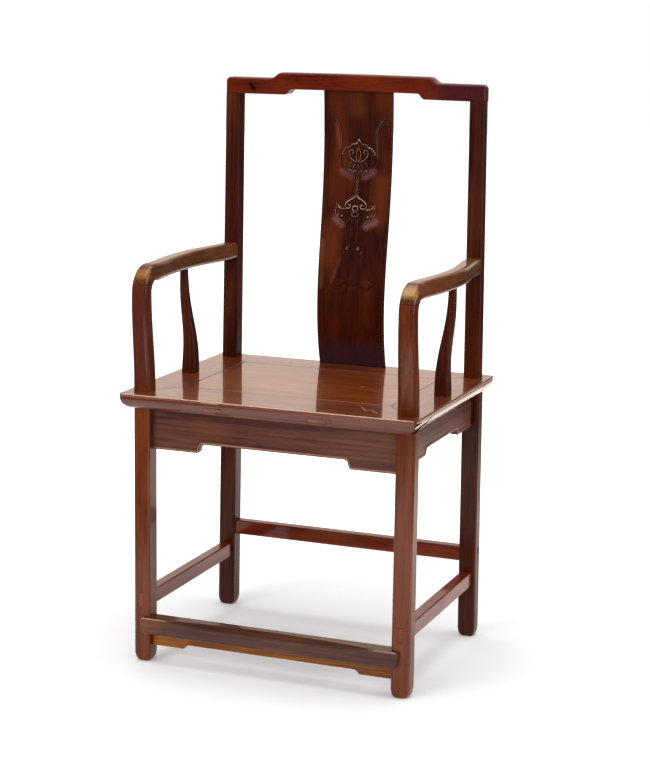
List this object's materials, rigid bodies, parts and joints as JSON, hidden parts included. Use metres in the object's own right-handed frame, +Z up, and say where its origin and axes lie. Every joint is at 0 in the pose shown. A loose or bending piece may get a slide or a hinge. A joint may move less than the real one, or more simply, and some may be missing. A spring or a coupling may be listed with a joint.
{
  "type": "official hat armchair",
  "caption": "High-backed hardwood armchair with a bent splat, bowed arms, mitred panel seat, stepped aprons and a foot rail between the front legs.",
  "frame": {"origin": "on the floor under the middle of the seat", "axes": "+Z up, the chair faces -Y, +X to the left hand of someone seated in it"},
  "size_m": [0.58, 0.477, 1.0965],
  "materials": {
    "apron_wood": "polished lacquer over figured hardwood",
    "arm_wood": "polished lacquer over figured hardwood",
    "brace_wood": "polished lacquer over figured hardwood",
    "crest_wood": "polished lacquer over figured hardwood",
    "foot_apron_wood": "polished lacquer over figured hardwood",
    "foot_rail_wood": "polished lacquer over figured hardwood",
    "front_leg_wood": "polished lacquer over figured hardwood",
    "panel_wood": "polished lacquer over figured hardwood",
    "rear_post_wood": "polished lacquer over figured hardwood",
    "seat_frame_wood": "polished lacquer over figured hardwood",
    "splat_wood": "polished lacquer over figured hardwood",
    "stretcher_wood": "polished lacquer over figured hardwood",
    "support_wood": "polished lacquer over figured hardwood"
  },
  "bodies": {
    "root": {"apron_front": "apron_wood", "apron_left": "apron_wood", "apron_rear": "apron_wood", "apron_right": "apron_wood", "arm_left": "arm_wood", "arm_right": "arm_wood", "arm_support_left": "support_wood", "arm_support_right": "support_wood", "crest_rail": "crest_wood", "foot_rail": "foot_rail_wood", "foot_rail_apron": "foot_apron_wood", "front_leg_left": "front_leg_wood", "front_leg_right": "front_leg_wood", "rear_leg_left": "rear_post_wood", "rear_leg_right": "rear_post_wood", "rear_stretcher": "stretcher_wood", "seat_brace_left": "brace_wood", "seat_brace_right": "brace_wood", "seat_panel": "panel_wood", "seat_rail_front": "seat_frame_wood", "seat_rail_left": "seat_frame_wood", "seat_rail_rear": "seat_frame_wood", "seat_rail_right": "seat_frame_wood", "side_stretcher_left": "stretcher_wood", "side_stretcher_right": "stretcher_wood", "splat": "splat_wood"}
  },
  "joints": []
}
